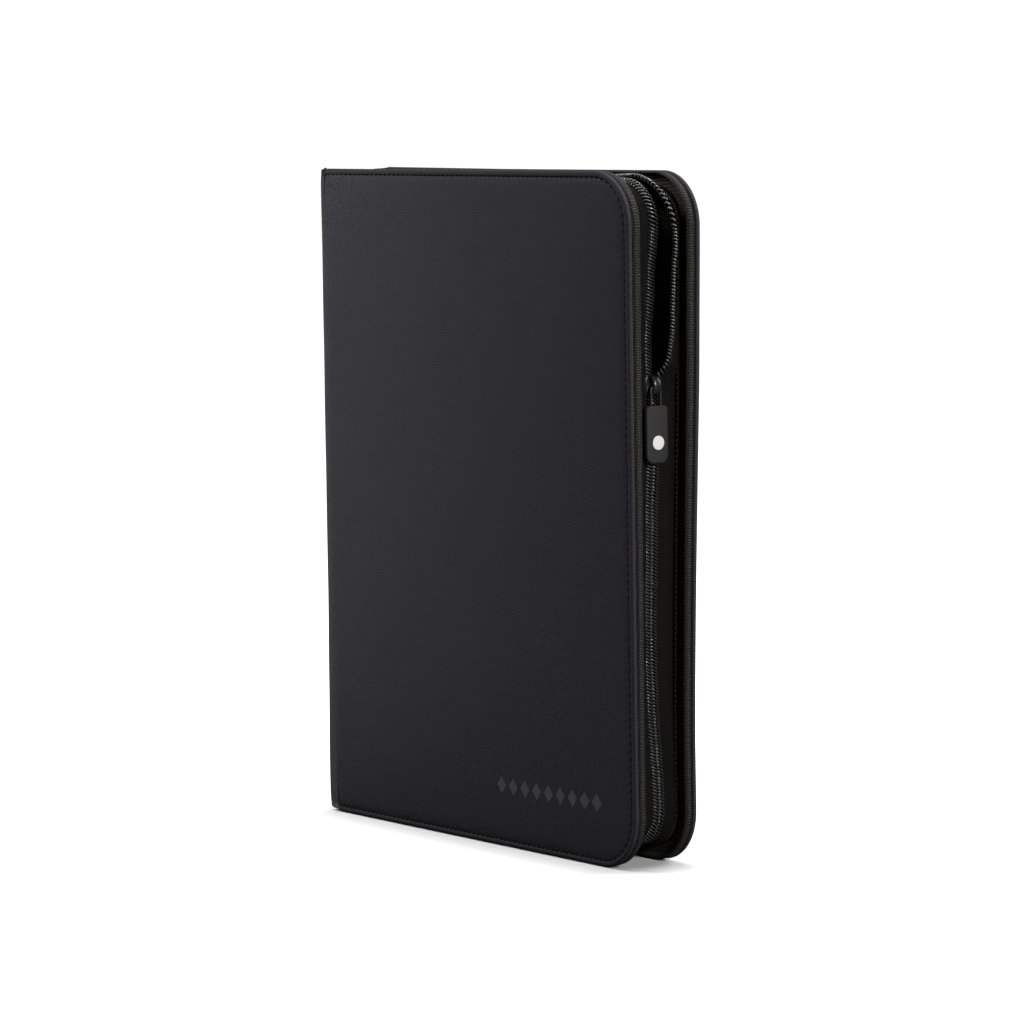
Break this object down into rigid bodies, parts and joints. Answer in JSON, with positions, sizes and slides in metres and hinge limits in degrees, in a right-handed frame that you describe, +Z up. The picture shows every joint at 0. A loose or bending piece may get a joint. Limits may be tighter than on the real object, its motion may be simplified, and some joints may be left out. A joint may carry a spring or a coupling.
{
  "type": "trading card binder",
  "caption": "Zip-up card binder: two padded covers and a spine that fold open, a zip round three sides with a slider and rubber pull, and pocket pages bound to the spine.",
  "frame": {"origin": "centre of the footprint of the closed binder, at the bottom edges it stands on", "axes": "+X from the spine to the long side of the zip, +Y from the front cover to the back cover, +Z up"},
  "size_m": [0.267, 0.044, 0.345],
  "materials": {
    "skin": "black imitation leather, fine diagonal twill emboss, satin",
    "foam": "closed-cell foam",
    "board": "grey-brown binder's board",
    "lining": "black woven lining",
    "tape": "black herringbone zip tape",
    "coil": "black nylon coil",
    "stop": "black painted stop",
    "slider_metal": "gloss black lacquer",
    "tab_rubber": "matt black moulded rubber",
    "badge": "plain pale disc",
    "page": "clear pocket film over a black core"
  },
  "bodies": {
    "back_cover": {"back_cover_skin": "skin", "back_foam": "foam", "back_board": "board", "back_inner_panel": "lining", "back_zip_hem": "tape", "back_zip_tape": "tape", "back_zip_coil": "coil", "back_zip_top_stop": "stop", "back_zip_bottom_stop": "stop"},
    "spine": {"spine_skin": "skin", "spine_board": "board", "spine_lining": "lining", "page_binding": "lining"},
    "front_cover": {"front_cover_skin": "skin", "front_foam": "foam", "front_board": "board", "front_inner_panel": "lining", "front_zip_hem": "tape", "front_zip_tape": "tape", "front_zip_coil": "coil", "front_zip_top_stop": "stop", "front_zip_bottom_stop": "stop"},
    "slider": {"slider_body": "slider_metal", "slider_crown": "slider_metal"},
    "pull": {"pull_loop": "slider_metal", "pull_tab": "tab_rubber", "pull_badge": "badge"},
    "page_01": {"page_01": "page"},
    "page_02": {"page_02": "page"},
    "page_03": {"page_03": "page"},
    "page_04": {"page_04": "page"},
    "page_05": {"page_05": "page"},
    "page_06": {"page_06": "page"},
    "page_07": {"page_07": "page"},
    "page_08": {"page_08": "page"},
    "page_09": {"page_09": "page"},
    "page_10": {"page_10": "page"},
    "page_11": {"page_11": "page"},
    "page_12": {"page_12": "page"},
    "page_13": {"page_13": "page"},
    "page_14": {"page_14": "page"},
    "page_15": {"page_15": "page"},
    "page_16": {"page_16": "page"},
    "page_17": {"page_17": "page"},
    "page_18": {"page_18": "page"},
    "page_19": {"page_19": "page"},
    "page_20": {"page_20": "page"}
  },
  "joints": [
    {"name": "spine_hinge", "type": "hinge", "parent": "back_cover", "child": "spine", "pos_m": [-0.1335, 0.022, 0.1725], "axis": [0, 0, -1], "range_deg": [0, 90]},
    {"name": "front_hinge", "type": "hinge", "parent": "spine", "child": "front_cover", "pos_m": [-0.1335, -0.022, 0.1725], "axis": [0, 0, -1], "range_deg": [0, 90]},
    {"name": "slider_slide", "type": "slide", "parent": "back_cover", "child": "slider", "axis": [0, 0, 1], "range_m": [-0.2, 0.072]},
    {"name": "pull_swing", "type": "hinge", "parent": "slider", "child": "pull", "pos_m": [0.12715, 0, 0.2389], "axis": [0, -1, 0], "range_deg": [0, 110]},
    {"name": "page_01_turn", "type": "hinge", "parent": "spine", "child": "page_01", "pos_m": [-0.125, -0.01425, 0.1725], "axis": [0, 0, -1], "range_deg": [0, 72.05]},
    {"name": "page_02_turn", "type": "hinge", "parent": "spine", "child": "page_02", "pos_m": [-0.125, -0.01275, 0.1725], "axis": [0, 0, -1], "range_deg": [0, 64.45]},
    {"name": "page_03_turn", "type": "hinge", "parent": "spine", "child": "page_03", "pos_m": [-0.125, -0.01125, 0.1725], "axis": [0, 0, -1], "range_deg": [0, 56.85]},
    {"name": "page_04_turn", "type": "hinge", "parent": "spine", "child": "page_04", "pos_m": [-0.125, -0.00975, 0.1725], "axis": [0, 0, -1], "range_deg": [0, 49.25]},
    {"name": "page_05_turn", "type": "hinge", "parent": "spine", "child": "page_05", "pos_m": [-0.125, -0.00825, 0.1725], "axis": [0, 0, -1], "range_deg": [0, 41.65]},
    {"name": "page_06_turn", "type": "hinge", "parent": "spine", "child": "page_06", "pos_m": [-0.125, -0.00675, 0.1725], "axis": [0, 0, -1], "range_deg": [0, 34.05]},
    {"name": "page_07_turn", "type": "hinge", "parent": "spine", "child": "page_07", "pos_m": [-0.125, -0.00525, 0.1725], "axis": [0, 0, -1], "range_deg": [0, 26.45]},
    {"name": "page_08_turn", "type": "hinge", "parent": "spine", "child": "page_08", "pos_m": [-0.125, -0.00375, 0.1725], "axis": [0, 0, -1], "range_deg": [0, 18.85]},
    {"name": "page_09_turn", "type": "hinge", "parent": "spine", "child": "page_09", "pos_m": [-0.125, -0.00225, 0.1725], "axis": [0, 0, -1], "range_deg": [0, 11.25]},
    {"name": "page_10_turn", "type": "hinge", "parent": "spine", "child": "page_10", "pos_m": [-0.125, -0.00075, 0.1725], "axis": [0, 0, -1], "range_deg": [0, 3.65]},
    {"name": "page_11_turn", "type": "hinge", "parent": "spine", "child": "page_11", "pos_m": [-0.125, 0.00075, 0.1725], "axis": [0, 0, -1], "range_deg": [-3.65, 0]},
    {"name": "page_12_turn", "type": "hinge", "parent": "spine", "child": "page_12", "pos_m": [-0.125, 0.00225, 0.1725], "axis": [0, 0, -1], "range_deg": [-11.25, 0]},
    {"name": "page_13_turn", "type": "hinge", "parent": "spine", "child": "page_13", "pos_m": [-0.125, 0.00375, 0.1725], "axis": [0, 0, -1], "range_deg": [-18.85, 0]},
    {"name": "page_14_turn", "type": "hinge", "parent": "spine", "child": "page_14", "pos_m": [-0.125, 0.00525, 0.1725], "axis": [0, 0, -1], "range_deg": [-26.45, 0]},
    {"name": "page_15_turn", "type": "hinge", "parent": "spine", "child": "page_15", "pos_m": [-0.125, 0.00675, 0.1725], "axis": [0, 0, -1], "range_deg": [-34.05, 0]},
    {"name": "page_16_turn", "type": "hinge", "parent": "spine", "child": "page_16", "pos_m": [-0.125, 0.00825, 0.1725], "axis": [0, 0, -1], "range_deg": [-41.65, 0]},
    {"name": "page_17_turn", "type": "hinge", "parent": "spine", "child": "page_17", "pos_m": [-0.125, 0.00975, 0.1725], "axis": [0, 0, -1], "range_deg": [-49.25, 0]},
    {"name": "page_18_turn", "type": "hinge", "parent": "spine", "child": "page_18", "pos_m": [-0.125, 0.01125, 0.1725], "axis": [0, 0, -1], "range_deg": [-56.85, 0]},
    {"name": "page_19_turn", "type": "hinge", "parent": "spine", "child": "page_19", "pos_m": [-0.125, 0.01275, 0.1725], "axis": [0, 0, -1], "range_deg": [-64.45, 0]},
    {"name": "page_20_turn", "type": "hinge", "parent": "spine", "child": "page_20", "pos_m": [-0.125, 0.01425, 0.1725], "axis": [0, 0, -1], "range_deg": [-72.05, 0]}
  ],
  "couplings": [
    {"joint": "page_01_turn", "follows": "front_hinge", "ratio": 0.8},
    {"joint": "page_02_turn", "follows": "front_hinge", "ratio": 0.7156},
    {"joint": "page_03_turn", "follows": "front_hinge", "ratio": 0.6311},
    {"joint": "page_04_turn", "follows": "front_hinge", "ratio": 0.5467},
    {"joint": "page_05_turn", "follows": "front_hinge", "ratio": 0.4622},
    {"joint": "page_06_turn", "follows": "front_hinge", "ratio": 0.3778},
    {"joint": "page_07_turn", "follows": "front_hinge", "ratio": 0.2933},
    {"joint": "page_08_turn", "follows": "front_hinge", "ratio": 0.2089},
    {"joint": "page_09_turn", "follows": "front_hinge", "ratio": 0.1244},
    {"joint": "page_10_turn", "follows": "front_hinge", "ratio": 0.04},
    {"joint": "page_11_turn", "follows": "spine_hinge", "ratio": -0.04},
    {"joint": "page_12_turn", "follows": "spine_hinge", "ratio": -0.1244},
    {"joint": "page_13_turn", "follows": "spine_hinge", "ratio": -0.2089},
    {"joint": "page_14_turn", "follows": "spine_hinge", "ratio": -0.2933},
    {"joint": "page_15_turn", "follows": "spine_hinge", "ratio": -0.3778},
    {"joint": "page_16_turn", "follows": "spine_hinge", "ratio": -0.4622},
    {"joint": "page_17_turn", "follows": "spine_hinge", "ratio": -0.5467},
    {"joint": "page_18_turn", "follows": "spine_hinge", "ratio": -0.6311},
    {"joint": "page_19_turn", "follows": "spine_hinge", "ratio": -0.7156},
    {"joint": "page_20_turn", "follows": "spine_hinge", "ratio": -0.8}
  ]
}
